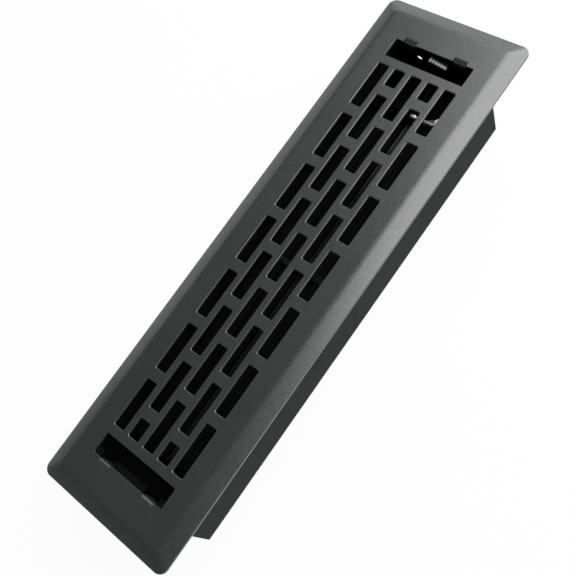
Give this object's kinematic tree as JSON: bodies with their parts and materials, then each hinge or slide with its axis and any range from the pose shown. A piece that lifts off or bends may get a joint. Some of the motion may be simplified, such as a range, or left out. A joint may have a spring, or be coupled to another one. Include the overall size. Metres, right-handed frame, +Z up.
{
  "type": "floor register",
  "caption": "Floor register: a slotted pressed steel faceplate over a sheet steel duct box, with a damper of coupled blade rows worked by a thumb lever in an end window.",
  "frame": {"origin": "the middle of the duct opening, on the floor plane that the faceplate's rim rests on", "axes": "+Z up out of the floor, +Y along the register towards the lever end, +X across it"},
  "size_m": [0.092, 0.335, 0.074],
  "materials": {
    "charcoal_paint": "satin charcoal powder coat with a fine grain",
    "black_paint": "thin black dip coat on the damper and its brackets",
    "zinc_steel": "bright zinc plate",
    "black_plastic": "moulded, matte"
  },
  "bodies": {
    "frame": {"faceplate": "charcoal_paint", "left_side_wall": "charcoal_paint", "right_side_wall": "charcoal_paint", "lever_end_wall": "charcoal_paint", "plain_end_wall": "charcoal_paint", "plain_bracket": "black_paint", "middle_bearing_plate": "black_paint", "lever_bracket": "black_paint"},
    "lever": {"lever_shaft": "black_paint", "lever_arm": "black_paint", "lever_grip": "black_plastic", "lever_crank": "black_paint", "friction_washer": "black_plastic", "lever_shaft_clip": "black_paint"},
    "left_damper": {"left_shaft": "black_paint", "left_blade_lever_half": "black_paint", "left_blade_plain_half": "black_paint", "left_crank": "black_paint", "left_shaft_clip": "black_paint"},
    "right_damper": {"right_shaft": "black_paint", "right_blade_lever_half": "black_paint", "right_blade_plain_half": "black_paint", "right_crank": "zinc_steel", "right_shaft_clip": "black_paint"},
    "left_link": {"left_link": "black_paint"},
    "right_link": {"right_link": "zinc_steel"}
  },
  "joints": [
    {"name": "lever_swing", "type": "hinge", "parent": "frame", "child": "lever", "pos_m": [0, 0.1111, -0.0185], "axis": [0, -1, 0], "range_deg": [0, 66]},
    {"name": "left_damper_turn", "type": "hinge", "parent": "frame", "child": "left_damper", "pos_m": [-0.01319, 0, -0.0185], "axis": [0, -1, 0], "range_deg": [0, 66]},
    {"name": "right_damper_turn", "type": "hinge", "parent": "frame", "child": "right_damper", "pos_m": [0.01319, 0, -0.0185], "axis": [0, -1, 0], "range_deg": [0, 66]},
    {"name": "left_link_pivot", "type": "hinge", "parent": "lever", "child": "left_link", "pos_m": [0.00035, 0.1111, -0.01191], "axis": [0, -1, 0], "range_deg": [-66, 0]},
    {"name": "right_link_pivot", "type": "hinge", "parent": "lever", "child": "right_link", "pos_m": [0.00424, 0.1111, -0.01344], "axis": [0, -1, 0], "range_deg": [-66, 0]}
  ],
  "couplings": [
    {"joint": "left_damper_turn", "follows": "lever_swing", "ratio": 1},
    {"joint": "right_damper_turn", "follows": "lever_swing", "ratio": 1},
    {"joint": "left_link_pivot", "follows": "lever_swing", "ratio": -1},
    {"joint": "right_link_pivot", "follows": "lever_swing", "ratio": -1}
  ]
}
